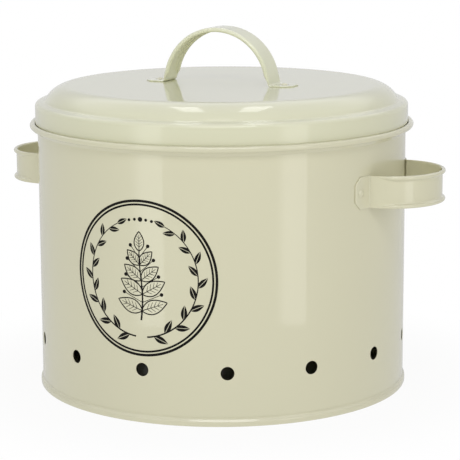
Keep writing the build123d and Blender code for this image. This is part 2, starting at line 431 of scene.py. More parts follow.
# %% [markdown]
# ## The can wall
# The real wall is a strip of sheet, punched with a row of holes while it is flat, then rolled and
# seamed, and curled outwards round the rim. The model is made in that order. One tile of the flat
# strip has one hole in it. A node tree lays fourteen tiles side by side, rolls them round the
# axis, and turns the plain bands above and below to the same number of steps, so that the
# points of all three meet and weld into one sheet.

# %% One tile of the vented strip
SHEET = 0.6 * mm
VENT_COUNT = 14
VENT_RADIUS = 4.2 * mm
VENT_HEIGHT = 33.5 * mm
VENT_BAND = (20 * mm, 47 * mm)
VENT_EDGE = 0.22 * mm
TILE_STEPS = TURNS // VENT_COUNT
TILE_RISES = 16
OUTER_SHARES = (1.0, 0.55, 0.28, 0.12, 0.03, 0.0)
INNER_SHARES = (0.05, 0.3, 1.0)
tile_width = 2 * pi * can_radius / VENT_COUNT


def tile_border():
    """Points round the tile, starting at the middle of its right side, counter-clockwise."""
    half = tile_width / 2
    rises = spread(*VENT_BAND, TILE_RISES)
    steps = spread(-half, half, TILE_STEPS)
    loop = [(half, z) for z in rises[:-1]] + [(x, rises[-1]) for x in steps[:0:-1]]
    loop += [(-half, z) for z in rises[:0:-1]] + [(x, rises[0]) for x in steps[:-1]]
    return loop[TILE_RISES // 2 :] + loop[: TILE_RISES // 2]


def vent_tile():
    """A flat tile of sheet: X along the strip, Z up, and Y the depth below the outer face."""
    centre = Vector((0, VENT_HEIGHT))
    border = [Vector(point) - centre for point in tile_border()]
    aims = [point.normalized() for point in border]

    def hole_ring(rounding, depth):
        return [(a * (VENT_RADIUS + VENT_EDGE * rounding), depth) for a in aims]

    def flat_ring(share, depth):
        hole = (VENT_RADIUS + VENT_EDGE) * (1 - share)
        return [(a * hole + b * share, depth) for a, b in zip(aims, border)]

    rings = [flat_ring(share, 0.0) for share in OUTER_SHARES]
    for angle in spread(radians(22.5), radians(90), 3):
        rings.append(hole_ring(1 - sin(angle), VENT_EDGE * (cos(angle) - 1)))
    rings.append(hole_ring(0.0, VENT_EDGE - SHEET))
    for angle in (radians(45), radians(90)):
        rings.append(hole_ring(1 - cos(angle), VENT_EDGE * (1 - sin(angle)) - SHEET))
    rings += [flat_ring(share, -SHEET) for share in INNER_SHARES]
    points = [(p.x, depth, p.y + centre.y) for ring in rings for p, depth in ring]
    return new_piece("can_body", points, faces=ring_faces(len(rings), len(border)))


# %% The node tree that rolls the strip
def roll_nodes(tree, flat, radius):
    """Bends flat work round the axis, inside a tree: X along the wall and Y out of it."""
    position = add(tree, "GeometryNodeInputPosition")
    place = add_node(tree, "ShaderNodeSeparateXYZ", {0: position}).outputs
    angle = math(tree, "SUBTRACT", math(tree, "DIVIDE", place[0], radius), pi / 2)
    reach = math(tree, "ADD", radius, place[1])
    right = math(tree, "MULTIPLY", reach, math(tree, "COSINE", angle))
    back = math(tree, "MULTIPLY", reach, math(tree, "SINE", angle))
    rolled = add(tree, "ShaderNodeCombineXYZ", {0: right, 1: back, 2: place[2]})
    return add(tree, "GeometryNodeSetPosition", {"Geometry": flat, "Position": rolled})


def strip_tree():
    inputs = {"Upper section": "Object", "Lower section": "Object", "Turns": "Int"}
    inputs |= {"Vents": "Int", "Tile width": "Float", "Radius": "Float", "Paint": "Material"}
    tree, given = new_tree("rolled_strip", inputs)
    step = add(tree, "ShaderNodeCombineXYZ", {0: given["Tile width"]})
    places = {"Count": given["Vents"], "Offset": step}
    row = add(tree, "GeometryNodeMeshLine", places, mode="OFFSET")
    tiles = {"Points": row, "Instance": given["Geometry"]}
    strip = add(tree, "GeometryNodeInstanceOnPoints", tiles)
    flat = add(tree, "GeometryNodeRealizeInstances", {0: strip})
    bands = [roll_nodes(tree, flat, given["Radius"])]
    for section in ("Upper section", "Lower section"):
        bands.append(turn_nodes(tree, shape_of(tree, given[section]), given["Turns"]))
    return finish_tree(tree, joined(tree, bands), given["Paint"])


# %% Roll the can
CURL_RADIUS = 1.95 * mm
CURL_END = radians(-110)
RIM_FLARE = 1.7 * mm
FLARE_START = rim_height - 6.1 * mm
FLARE_END = rim_height - 3.7 * mm
FLARE_BENDS = (2.0, 1.2)
bore = can_radius - SHEET
rim_bore = bore + RIM_FLARE
curl_centre = (rim_bore + CURL_RADIUS, rim_height - CURL_RADIUS)

rim_corners = [
    (bore, VENT_BAND[1]),
    (bore, FLARE_START),
    (rim_bore, FLARE_END),
    (rim_bore, curl_centre[1] - BEND_GUARD),
]
inside_face = bent_line(rim_corners, FLARE_BENDS)
inside_face += arc_points(curl_centre, CURL_RADIUS, pi, CURL_END)
hem = [(bore, VENT_BAND[0]), (bore, foot), (can_radius, foot), (can_radius, VENT_BAND[0])]
strip_values = {
    "Upper section": line_object("upper_section", sheet_outline(inside_face, SHEET)),
    "Lower section": line_object("lower_section", [Vector(point) for point in hem]),
    "Turns": TURNS,
    "Vents": VENT_COUNT,
    "Tile width": tile_width,
    "Radius": can_radius,
    "Paint": can_enamel,
}
can_body = run_tree(vent_tile(), strip_tree(), strip_values)
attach(can_body, "bin")
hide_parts("can_wall")

# %% [markdown]
# ## The foot pan
# The bottom is a shallow pan. Its edge is folded under the wall and up round the outside, and
# paint fills the seam, so on the real bin the fold swells out of the wall with no hard line. The
# lip of the section runs out to nothing against the wall for that reason.

# %% Turn the foot pan
PAN_FLOOR = 4.0 * mm
PAN_FIT = 0.05 * mm
LIP_FIT = 0.004 * mm
LIP_GAP = 0.02 * mm
LIP_TOP = 5.7 * mm
pan_side = bore - PAN_FIT
pan_corners = [
    (0, PAN_FLOOR),
    (pan_side, PAN_FLOOR),
    (pan_side, foot - 0.03 * mm),
    (can_radius + LIP_FIT, foot - 0.03 * mm),
    (can_radius + LIP_FIT, LIP_TOP),
    (can_radius + LIP_GAP, LIP_TOP),
    (can_radius + LIP_GAP, 4.6 * mm),
    (seam_reach, 3.0 * mm),
    (seam_reach, 0),
    (pan_side - SHEET, 0),
    (pan_side - SHEET, PAN_FLOOR - SHEET),
    (0, PAN_FLOOR - SHEET),
]
pan_bends = [1.5, 0.05, 0.05, 0.002, 0.002, 1.1, 1.3, 0.9, 0.6, 2.1]
pan_line = line_object("foot_pan", bent_line(pan_corners, pan_bends))
foot_pan = run_tree(pan_line, lathe, {"Turns": TURNS, "Paint": can_enamel})
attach(foot_pan, "bin")
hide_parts("bottom_pan")

# %% [markdown]
# ## The lid pressing
# One pressing makes the whole lid: a flat crown, a sloping shoulder, a narrow ledge, a skirt that
# stands on the curl, and a neck that drops inside the rim. A press can't make sharp corners, so
# every corner is a bend.

# %% Turn the lid
LEDGE_WIDTH = 6.1 * mm
SLOPE_WIDTH = 6.1 * mm
LEDGE_HEIGHT = lid_top - 11.1 * mm
LEDGE_RISE = 1.3 * mm
NECK_RADIUS = bore - 0.5 * mm
SKIRT_HEIGHT = 13.4 * mm
seat_height = LEDGE_HEIGHT - SKIRT_HEIGHT
ledge_inside = skirt_radius - LEDGE_WIDTH
lid_corners = [
    (0, lid_top),
    (ledge_inside - SLOPE_WIDTH, lid_top),
    (ledge_inside, LEDGE_HEIGHT + LEDGE_RISE),
    (skirt_radius, LEDGE_HEIGHT),
    (skirt_radius, seat_height),
    (NECK_RADIUS, seat_height),
    (NECK_RADIUS, lid_low.z),
]
lid_bends = [18.0, 2.0, 2.7, 0.9, 0.6]
lid_outline = sheet_outline(bent_line(lid_corners, lid_bends), SHEET)
lid_line = line_object("lid_pressing", lid_outline)
lid_pressing = run_tree(lid_line, lathe, {"Turns": TURNS, "Paint": lid_enamel})
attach(lid_pressing, "lid")
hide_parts("lid_shell")

# %% [markdown]
# ## Bent straps
# The three handles are flat strips with their edges turned over, bent on a former. Each is a
# loft: a closed section is set across the strip's path again and again, and neighbouring sections
# are joined by faces. The section changes along the way, because the turned edges flatten out
# before the feet, and the feet narrow at their cut corners.

# %% A flat strip with rolled edges
STRAP_SHEET = 0.8 * mm
BEAD_FILLET = 1.3 * mm


def toward(angle, side=1):
    """The direction at an angle in a flat drawing, which side -1 mirrors left for right."""
    return Vector((side * cos(angle), sin(angle)))


def smooth_share(value, start, end):
    """0 before start, 1 after end, and an easy S between."""
    share = min(max((value - start) / (end - start), 0.0), 1.0)
    return share * share * (3 - 2 * share)


def rolled_half_section(half_width, bead, trim):
    """Flush face, rolled bead, fillet and other face. Depth 0 is the face flush with the bead."""
    radius = bead / 2 - trim
    rise = half_width - bead / 2
    face = STRAP_SHEET - trim
    step_out = face + BEAD_FILLET - bead / 2
    drop = sqrt(max((radius + BEAD_FILLET) ** 2 - step_out**2, 0.0))
    meet = atan2(step_out, -drop)
    low = rise - drop
    half = [(share * rise, trim) for share in (0.0, 0.35, 0.7, 0.96)]
    for angle in spread(-pi / 2, meet, 18):
        half.append((rise + radius * cos(angle), bead / 2 + radius * sin(angle)))
    for angle in spread(meet - pi, -pi / 2, 6)[1:]:
        half.append((low + BEAD_FILLET * cos(angle), face + BEAD_FILLET * (1 + sin(angle))))
    half += [(low * share, face) for share in (0.97, 0.6, 0.3, 0.0)]
    return half


# %% Lofting a strap along its path
TIP_ROUND = 0.2 * mm


def tip_runs(corner):
    """Distances from a foot's tip where its outline changes: round tip, then cut corner."""
    tip = [0, 0.3 * TIP_ROUND, TIP_ROUND]
    return tip + [corner / 2, corner - TIP_ROUND / 2, corner + TIP_ROUND / 2]


def loft(name, rings):
    """A closed skin over rings of points, all with the same number of points."""
    count = len(rings[0])
    ends = [tuple(range(count)), tuple(range((len(rings) - 1) * count, len(rings) * count))]
    points = [point for ring in rings for point in ring]
    strap = new_piece(name, points, faces=ring_faces(len(rings), count) + ends)
    strap.data.shade_smooth()
    return tidy_mesh(strap)


def bent_strap(name, half_path, half_width, corner, bead_inside, set_point):
    """A strap from half its path, a list of place, outward way, bead and run from the tip."""
    rings = []
    for flip, stations in ((1, half_path), (-1, half_path[-2::-1])):
        for place, way, bead, run in stations:
            trim = max(0.0, TIP_ROUND - run)
            width = half_width - max(0.0, corner - run) - trim
            half = rolled_half_section(width, bead, trim)
            if bead_inside:
                half = [(wide, STRAP_SHEET - depth) for wide, depth in reversed(half)]
            section = half + [(-wide, depth) for wide, depth in reversed(half)]
            rings.append([set_point(flip, place + way * depth, wide) for wide, depth in section])
    return loft(name, rings)


def arc_path(centre, radius, angles, run, side=1, bead=STRAP_SHEET, grows=(0, 1)):
    """Stations round an arc. The bead grows while the angle goes through the range of grows."""
    path = []
    for angle in angles:
        way = toward(angle)
        swell = (bead - STRAP_SHEET) * smooth_share(angle, *grows)
        path.append((centre + way * radius, way * side, STRAP_SHEET + swell, run))
    return path


# %% The lid handle
ARCH_OUTSIDE = 37.5 * mm
ARCH_BEAD = 2.9 * mm
ARCH_BEAD_GROWS = (radians(4), radians(13))
ARCH_BEND = 2.0 * mm
ARCH_CORNER = 5.0 * mm
arch_inside = ARCH_OUTSIDE - STRAP_SHEET
arch_centre = Vector((0, arch_high.z - ARCH_OUTSIDE))


def arch_path():
    """From a foot tip to the crown, along the inner face of the strip."""
    tip = arch_high.x
    bend_height = lid_top + ARCH_BEND
    bend_start = sqrt((arch_inside + ARCH_BEND) ** 2 - (bend_height - arch_centre.y) ** 2)
    leg_angle = atan2(bend_height - arch_centre.y, bend_start)
    bend_centre = Vector((bend_start, bend_height))
    path = []
    for run in tip_runs(ARCH_CORNER) + spread(6.5 * mm, tip - bend_start, 6):
        path.append((Vector((tip - run, lid_top)), Vector((0, 1)), STRAP_SHEET, run))
    bend = spread(radians(-90), leg_angle - pi, 10)[1:]
    bow = spread(leg_angle, pi / 2, 44)[1:]
    path += arc_path(bend_centre, ARCH_BEND, bend, tip, -1)
    return path + arc_path(arch_centre, arch_inside, bow, tip, 1, ARCH_BEAD, ARCH_BEAD_GROWS)


arch_point = lambda flip, spot, across: (flip * spot.x, across, spot.y)
lid_arch = bent_strap("lid_arch", arch_path(), arch_high.y, ARCH_CORNER, True, arch_point)
lid_arch.data.materials.append(lid_handle_lit_enamel)
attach(lid_arch, "lid")
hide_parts("lid_handle")

# %% [markdown]
# ## The side handles
# These are wider strips, bowed out so that fingers fit behind them. Their edges roll outwards
# into a round bead that stiffens the bow, and the bead grows out of the flat strip just past
# the bend. The feet are curved to the can.

# %% The side handles
STRAP_HALF_HEIGHT = (strap_high.z - strap_low.z) / 2
STRAP_HEIGHT = (strap_high.z + strap_low.z) / 2
BOW_BEAD = 2.6 * mm
BOW_BEAD_GROWS = (radians(85), radians(60))
BOW_OUTSIDE = 35.0 * mm
BOW_LEG = 0.1 * mm
BOW_BEND = 0.8 * mm
FOOT_GAP = 0.05 * mm
FOOT_LENGTH = 12.5 * mm
FOOT_CORNER = 4.5 * mm
foot_inside = can_radius + FOOT_GAP
foot_outside = foot_inside + STRAP_SHEET
bow_centre = Vector((sqrt(foot_inside**2 - BOW_OUTSIDE**2) + BOW_LEG, 0))


def strap_path():
    """From a foot tip to the middle of the bow, seen from above, along the inner face."""
    foot_end = asin(BOW_OUTSIDE / foot_inside) + FOOT_LENGTH / foot_inside
    aside = BOW_OUTSIDE + BOW_BEND
    bend_centre = Vector((sqrt((foot_outside + BOW_BEND) ** 2 - aside**2), aside))
    bend_angle = atan2(bend_centre.y, bend_centre.x)
    foot_run = (foot_end - bend_angle) * foot_inside
    path = []
    for run in tip_runs(FOOT_CORNER) + spread(6 * mm, foot_run, 7):
        way = toward(foot_end - run / foot_inside)
        path.append((way * foot_inside, way, STRAP_SHEET, run))
    bend = spread(bend_angle + pi, 1.5 * pi, 8)[1:]
    bow = spread(pi / 2, 0, 40)
    path += arc_path(bend_centre, BOW_BEND + STRAP_SHEET, bend, foot_run, -1)
    radius = BOW_OUTSIDE - STRAP_SHEET
    return path + arc_path(bow_centre, radius, bow, foot_run, 1, BOW_BEAD, BOW_BEAD_GROWS)


for name, node, side in (
    ("side_strap_left", "side_handle_left", -1),
    ("side_strap_right", "side_handle_right", 1),
):
    bow_point = lambda flip, spot, up: (side * spot.x, flip * spot.y, STRAP_HEIGHT + up)
    strap = bent_strap(name, strap_path(), STRAP_HALF_HEIGHT, FOOT_CORNER, False, bow_point)
    strap.data.materials.append(cream_enamel)
    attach(strap, "bin")
    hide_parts(node)

# %% [markdown]
# ## Rivets
# Six rivets hold the handles. One section, with a low domed head, a shank and a flat tail, is
# turned once, and a node tree sets a copy at each hole and points it outwards. The direction of
# each hole is stored on its point, where the tree reads it.

# %% The rivet tree
RIVET_TURNS = 40


def set_values(mesh, name, kind, values):
    """Stores a number or a direction for each point of a mesh, for a tree to read."""
    stored = mesh.attributes.new(name, kind, "POINT")
    for item, value in zip(stored.data, values):
        setattr(item, "vector" if kind == "FLOAT_VECTOR" else "value", value)


def stored_value(tree, name, kind):
    return add(tree, "GeometryNodeInputNamedAttribute", {"Name": name}, data_type=kind)


def rivet_tree():
    inputs = {"Section": "Object", "Turns": "Int", "Paint": "Material"}
    tree, given = new_tree("set_rivets", inputs)
    rivet = turn_nodes(tree, shape_of(tree, given["Section"]), given["Turns"])
    way = stored_value(tree, "way", "FLOAT_VECTOR")
    aim = add(tree, "FunctionNodeAlignRotationToVector", {"Vector": way}, axis="Z")
    holes = add(tree, "GeometryNodeMeshToPoints", {"Mesh": given["Geometry"]})
    copies = {"Points": holes, "Instance": rivet, "Rotation": aim}
    set_rivets = add(tree, "GeometryNodeInstanceOnPoints", copies)
    return finish_tree(tree, set_rivets, given["Paint"])


rivets = rivet_tree()
print("the rivet tree has", len(rivets.nodes), "nodes")

# %% One rivet, and a group of them
HEAD_RADIUS = 2.9
SHANK_RADIUS = 1.2
TAIL_RADIUS = 2.0
TAIL_HEIGHT = 0.7


def rivet_outline(grip):
    """Head above the seat at height 0, shank through the sheets, tail below them, in mm."""
    corners = [
        (0, 1.0),
        (1.1, 0.95),
        (2.15, 0.12),
        (HEAD_RADIUS, 0.02),
        (HEAD_RADIUS, -0.06),
        (SHANK_RADIUS, -0.06),
        (SHANK_RADIUS, -grip),
        (TAIL_RADIUS, -grip),
        (TAIL_RADIUS, -grip - TAIL_HEIGHT),
        (0, -grip - TAIL_HEIGHT),
    ]
    bends = [1.8, 0.9, 0.02, 0.02, 0.02, 0.02, 0.02, 0.3]
    return bent_line([(x * mm, z * mm) for x, z in corners], bends)


def rivet_group(name, body, nodes, holes, grip):
    """One mesh of rivets for a body. Holes are places with their outward directions."""
    places, ways = zip(*holes)
    group = new_piece(name, places)
    set_values(group.data, "way", "FLOAT_VECTOR", ways)
    section = line_object("rivet_section", rivet_outline(grip))
    run_tree(group, rivets, {"Section": section, "Turns": RIVET_TURNS, "Paint": cream_enamel})
    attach(group, body)
    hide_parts(*nodes)


# %% Set the rivets
SIDE_RIVET_RUN = 7.5 * mm
LID_RIVET_RUN = 7.0 * mm
SIDE_GRIP = 1.47
LID_GRIP = 1.4
up = Vector((0, 0, 1))
rivet_turn = asin(BOW_OUTSIDE / foot_inside) + SIDE_RIVET_RUN / foot_inside
side_holes = []
for turn_angle in (rivet_turn, -rivet_turn, pi + rivet_turn, pi - rivet_turn):
    way = toward(turn_angle).to_3d()
    side_holes.append((way * foot_outside + up * STRAP_HEIGHT, way))
side_nodes = ("rivet_right_back", "rivet_right_front", "rivet_left_front", "rivet_left_back")
rivet_group("bin_rivets", "bin", side_nodes, side_holes, SIDE_GRIP)

seat = lid_top + STRAP_SHEET
lid_holes = [(Vector((side * (ARCH_OUTSIDE + LID_RIVET_RUN), 0, seat)), up) for side in (-1, 1)]
lid_nodes = ("lid_rivet_left", "lid_rivet_right")
rivet_group("lid_rivets", "lid", lid_nodes, lid_holes, LID_GRIP)

# %% [markdown]
# ## The printed front
# The front carries a round print in black: a double ring, and inside it a wreath of solid leaves
# round a fine sprig. Ink on enamel is a thin film, so each stroke is a closed slab a twentieth of
# a millimetre proud of the wall. It could be a picture on a plane, but strokes made of mesh stay
# sharp at any distance. They are drawn flat, and a node tree then sets the leaves along their
# branches and rolls the whole sheet onto the can, as a screen print is put on before rolling.

# %% Flat strokes
INK_PROUD = 0.05 * mm
INK_UNDER = 0.02 * mm
PRINT_HEIGHT = 90.6 * mm
RING_STEPS = 288
DOT_HOLE = 0.03 * mm


class Drawing:
    """Slabs of ink, drawn flat: X along the wall, Z up, and Y the thickness of the film."""

    def __init__(self):
        self.points = []
        self.faces = []

    def slab(self, left, right, closed=False):
        """A slab between a left and a right edge, point by point."""
        first = len(self.points)
        for a, b in zip(left, right):
            self.points += [(a.x, INK_PROUD, a.y), (b.x, INK_PROUD, b.y)]
            self.points += [(b.x, -INK_UNDER, b.y), (a.x, -INK_UNDER, a.y)]
        size = 4 * len(left)
        faces = ring_faces(len(left) + closed, 4)
        if not closed:
            faces += [(0, 1, 2, 3), tuple(range(size - 4, size))]
        self.faces += [tuple(first + i % size for i in face) for face in faces]

    def stroke(self, line, width, tip_width=None, closed=False):
        """A pen stroke along a line, of one width or running down to a tip."""
        tip_width = width if tip_width is None else tip_width
        count = len(line)
        left, right = [], []
        for i, point in enumerate(line):
            before = line[i - 1] if closed or i else point
            after = line[(i + 1) % count] if closed or i < count - 1 else point
            along = (after - before).normalized()
            aside = Vector((-along.y, along.x)) * (width + (tip_width - width) * i / count) / 2
            left.append(point + aside)
            right.append(point - aside)
        self.slab(left, right, closed)

    def ring(self, centre, inner, outer, steps=RING_STEPS):
        """A ring, or a dot when its inner radius is next to nothing."""
        ways = [toward(2 * pi * i / steps) for i in range(steps)]
        edges = [[centre + way * radius for way in ways] for radius in (outer, inner)]
        self.slab(*edges, closed=True)

    def piece(self, name):
        return new_piece(name, self.points, faces=self.faces)


# %% One solid leaf, and the curve of a leaf's side
LEAF_LENGTH = 9.8 * mm
LEAF_HALF_WIDTH = 2.1 * mm
LEAF_RIB = 0.17 * mm
LEAF_EDGE = LEAF_RIB + 0.02 * mm
LEAF_BELLY = 0.82


def leaf_side(length, half_width, count=16):
    """One side of a pointed leaf that lies along X from the origin, widest before its middle."""
    shares = spread(0.0, 1.0, count)
    return [Vector((length * t, half_width * sin(pi * t**LEAF_BELLY) ** 0.9)) for t in shares]


def solid_leaf():
    leaf = Drawing()
    side = leaf_side(LEAF_LENGTH, LEAF_HALF_WIDTH)
    for flip in (1, -1):
        edge = [Vector((p.x, flip * max(p.y, LEAF_EDGE))) for p in side]
        leaf.slab(edge, [Vector((p.x, flip * LEAF_RIB)) for p in side])
    return leaf.piece("leaf_stock")


# %% Where the wreath's leaves go
WREATH_RADIUS = 36.5 * mm
WREATH_START = radians(-84)
WREATH_END = radians(64)
LEAVES_PER_BRANCH = 13
LEAF_SPLAY = radians(38)
LEAF_SHRINK = 0.22
FIRST_LEAF = 0.05
print_centre = Vector((0, PRINT_HEIGHT))


def on_wreath(angle, side=1):
    """A place on the wreath's circle: side 1 is its right half and side -1 its left."""
    return print_centre + toward(angle, side) * WREATH_RADIUS


def wreath_leaves():
    """Place, heading and size of each leaf, set in turn outside and inside the branch."""
    leaves = []
    for side in (1, -1):
        for i in range(LEAVES_PER_BRANCH):
            share = i / (LEAVES_PER_BRANCH - 1)
            climb = FIRST_LEAF + (1 - FIRST_LEAF) * share
            angle = WREATH_START + (WREATH_END - WREATH_START) * climb
            splay = 0.0 if i == LEAVES_PER_BRANCH - 1 else LEAF_SPLAY * (1 if i % 2 else -1)
            heading = atan2(cos(angle + splay), -side * sin(angle + splay))
            leaves.append((on_wreath(angle, side), heading, 1.0 - LEAF_SHRINK * share))
    return leaves


# %% A leaf drawn in line
LEAF_PEN = 0.7 * mm
RIB_PEN = (0.5 * mm, 0.25 * mm)
VEIN_PEN = (0.36 * mm, 0.2 * mm)
VEIN_SHARES = (0.20, 0.34, 0.48, 0.62)
VEIN_LEAN = 0.15


def leaf_outline(drawing, foot, heading, length, half_width):
    """A leaf drawn in line only, with a vein down its middle and short side veins."""

    def placed(points):
        return [foot + Matrix.Rotation(heading, 2) @ p for p in points]

    side = leaf_side(length, half_width, 24)
    edge = side + [Vector((p.x, -p.y)) for p in side[-2:0:-1]]
    drawing.stroke(placed(edge), LEAF_PEN, closed=True)
    drawing.stroke(placed([Vector((length * t, 0)) for t in spread(0.03, 0.84, 8)]), *RIB_PEN)
    for t in VEIN_SHARES:
        for flip in (1, -1):
            reach = flip * half_width * sin(pi * (t + 0.12) ** LEAF_BELLY) * 0.7
            shares = spread(0.1, 1.0, 3)
            vein = [Vector((length * (t + VEIN_LEAN * s), reach * s)) for s in shares]
            drawing.stroke(placed(vein), *VEIN_PEN)


# %% Draw the strokes
RINGS = ((47.0, 48.6), (44.95, 46.2))
BRANCH_PEN = (1.0 * mm, 0.45 * mm)
STEM_PEN = (1.2 * mm, 0.7 * mm)
STALK_PEN = 0.42 * mm
SPRIG_FOOT = -26 * mm
SPRIG_TOP = 17 * mm
SPRIG_STEPS = 50
SPRIG_SWAY = 1.0 * mm
SPRIG_PAIRS = (
    (0.14, 17.5, 4.3, 20),
    (0.38, 17.0, 4.3, 30),
    (0.60, 14.5, 3.9, 38),
    (0.81, 12.0, 3.4, 46),
)
TIP_LEAF = (12 * mm, 3.3 * mm)
BERRIES = ((0.27, 13.8, 24), (0.50, 13.2, 33), (0.71, 11.8, 41), (0.92, 9.6, 52))
BERRY_RADIUS = 1.15 * mm
CROWN_DOTS = ((78, 0.95), (84, 0.95), (90, 1.5), (96, 0.95), (102, 0.95))


def draw_print():
    """The rings, the branches, the sprig with its leaves and berries, and the dots on top."""
    ink = Drawing()
    for inner, outer in RINGS:
        ink.ring(print_centre, inner * mm, outer * mm)
    for side in (1, -1):
        branch = [on_wreath(angle, side) for angle in spread(WREATH_START, WREATH_END, 72)]
        ink.stroke(branch, *BRANCH_PEN)
    stem = []
    for t in spread(0, 1, SPRIG_STEPS):
        rise = SPRIG_FOOT + (SPRIG_TOP - SPRIG_FOOT) * t
        stem.append(print_centre + Vector((SPRIG_SWAY * sin(5 * t), rise)))
    ink.stroke(stem, *STEM_PEN)
    leaf_outline(ink, stem[-1], radians(90), *TIP_LEAF)

    def pair(share, lean):
        joint = stem[round(share * (SPRIG_STEPS - 1))]
        return (joint, radians(lean)), (joint, radians(180 - lean))

    for share, length, width, lean in SPRIG_PAIRS:
        for foot, heading in pair(share, lean):
            leaf_outline(ink, foot, heading, length * mm, width * mm)
    for share, length, lean in BERRIES:
        for foot, heading in pair(share, lean):
            berry = foot + toward(heading) * length * mm
            ink.stroke([foot, foot + (berry - foot) * 0.5, berry], STALK_PEN)
            ink.ring(berry, DOT_HOLE, BERRY_RADIUS, 28)
    for angle, radius in CROWN_DOTS:
        ink.ring(on_wreath(radians(angle)), DOT_HOLE, radius * mm, 32)
    return ink.piece("ink_strokes")


# %% The node tree that prints
def print_tree():
    inputs = {"Leaf": "Object", "Strokes": "Object", "Radius": "Float", "Paint": "Material"}
    tree, given = new_tree("printed_front", inputs)
    heading = stored_value(tree, "heading", "FLOAT")
    size = stored_value(tree, "size", "FLOAT")
    turn = add(tree, "ShaderNodeCombineXYZ", {1: math(tree, "MULTIPLY", heading, -1.0)})
    copies = {
        "Points": add(tree, "GeometryNodeMeshToPoints", {"Mesh": given["Geometry"]}),
        "Instance": shape_of(tree, given["Leaf"]),
        "Rotation": add(tree, "FunctionNodeEulerToRotation", {0: turn}),
        "Scale": add(tree, "ShaderNodeCombineXYZ", {0: size, 1: 1.0, 2: size}),
    }
    leaves = add(tree, "GeometryNodeInstanceOnPoints", copies)
    flat_leaves = add(tree, "GeometryNodeRealizeInstances", {0: leaves})
    drawn = joined(tree, [flat_leaves, shape_of(tree, given["Strokes"])])
    return finish_tree(tree, roll_nodes(tree, drawn, given["Radius"]), given["Paint"])


# %% Ink
INK_DARK = (0.0035, 0.0030, 0.0022, 1)
INK_LIGHT = (0.0090, 0.0078, 0.0060, 1)
INK_ROUGHNESS = (0.30, 0.55)
INK_SCALE = 420.0
INK_GRAIN = 0.01 * mm


def printing_ink(name):
    """Black screen ink: a thin film, a little uneven, with its own softer gloss."""
    paint = bpy.data.materials.new(name)
    tree = empty_tree(paint)
    film = noise(tree, INK_SCALE, 3.0)
    tones = {"Factor": film, "A": INK_DARK, "B": INK_LIGHT}
    grain = {"Height": film, "Strength": 0.25, "Distance": INK_GRAIN}
    layers = {
        "Base Color": add_node(tree, "ShaderNodeMix", tones, data_type="RGBA").outputs["Result"],
        "Roughness": map_range(tree, film, *INK_ROUGHNESS),
        "Normal": add(tree, "ShaderNodeBump", grain),
        "Specular IOR Level": 0.12,
    }
    shader = add(tree, "ShaderNodeBsdfPrincipled", layers)
    add_node(tree, "ShaderNodeOutputMaterial", {"Surface": shader})
    return paint


# %% Print the front
def print_front():
    spots, headings, sizes = zip(*wreath_leaves())
    sheet = new_piece("front_print", [(spot.x, 0, spot.y) for spot in spots])
    set_values(sheet.data, "heading", "FLOAT", headings)
    set_values(sheet.data, "size", "FLOAT", sizes)
    values = {"Leaf": solid_leaf(), "Strokes": draw_print()}
    values |= {"Radius": can_radius, "Paint": printing_ink("black_ink")}
    return run_tree(sheet, print_tree(), values)


front_print = print_front()
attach(front_print, "bin")

# %% [markdown]
# ## The table and the room
# The bin stands on a small pale table. Its colour fades to plain white away from the bin, so the
# picture has a white ground with only a breath of shadow under the bin. The room is white to the
# camera. To the paint it is a set of greys that change with height: what the glossy coat mirrors
# and what lights the pigment are set apart, because a coat shows a bright room far too well.

# %% Table
TABLE_RINGS = (0.36, 0.29, 0.22, 0.14)
TABLE_STEPS = 96
TABLE_BOARD = (0.93, 0.93, 0.93, 1)
TABLE_FADE = (0.12, 0.24)
TABLE_WHITE_SHARE = 0.92
TABLE_LIGHT = 0.92
TABLE_MIRRORED = 0.66


def build_table():
    ways = [toward(2 * pi * i / TABLE_STEPS).to_3d() for i in range(TABLE_STEPS)]
    points = [way * radius for radius in TABLE_RINGS for way in ways]
    middle = tuple(range(len(points) - TABLE_STEPS, len(points)))
    faces = ring_faces(len(TABLE_RINGS), TABLE_STEPS) + [middle]
    return new_piece("table", points, faces=faces)


def blend(tree, share, first, second):
    """The first shader where share is 0, the second where it is 1."""
    return add(tree, "ShaderNodeMixShader", {0: share, 1: first, 2: second})


def table_paint():
    """Pale board that fades to white for the camera, and a plain even light for the bin."""
    paint = bpy.data.materials.new("table_white")
    tree = empty_tree(paint)
    away = distance(tree, own_place(tree))
    fade = map_range(tree, away, TABLE_WHITE_SHARE, 1.0, *TABLE_FADE, ease="SMOOTHSTEP")
    board = add(tree, "ShaderNodeBsdfDiffuse", {"Color": TABLE_BOARD})
    white = add(tree, "ShaderNodeEmission", {"Strength": 1.0})
    ray = add_node(tree, "ShaderNodeLightPath").outputs
    glow = map_range(tree, ray["Is Glossy Ray"], TABLE_LIGHT, TABLE_MIRRORED)
    plain = add(tree, "ShaderNodeEmission", {"Strength": glow})
    seen = blend(tree, ray["Is Camera Ray"], plain, blend(tree, fade, board, white))
    add_node(tree, "ShaderNodeOutputMaterial", {"Surface": seen})
    return paint


table = build_table()
table.data.materials.append(table_paint())
table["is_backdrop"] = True
print("table radius", TABLE_RINGS[0], "m")

# %% The room
BRIGHTEST_TONE = 2.0
WHITE = (1, 1, 1, 1)
MIRRORED_TONES = ((-0.10, 0.68), (0.04, 0.79), (0.35, 0.79), (0.60, 1.7), (0.95, 1.9))
LIGHTING_TONES = ((-0.12, 0.80), (0.0, 0.84), (0.33, 0.84), (0.50, 0.20), (0.95, 0.20))


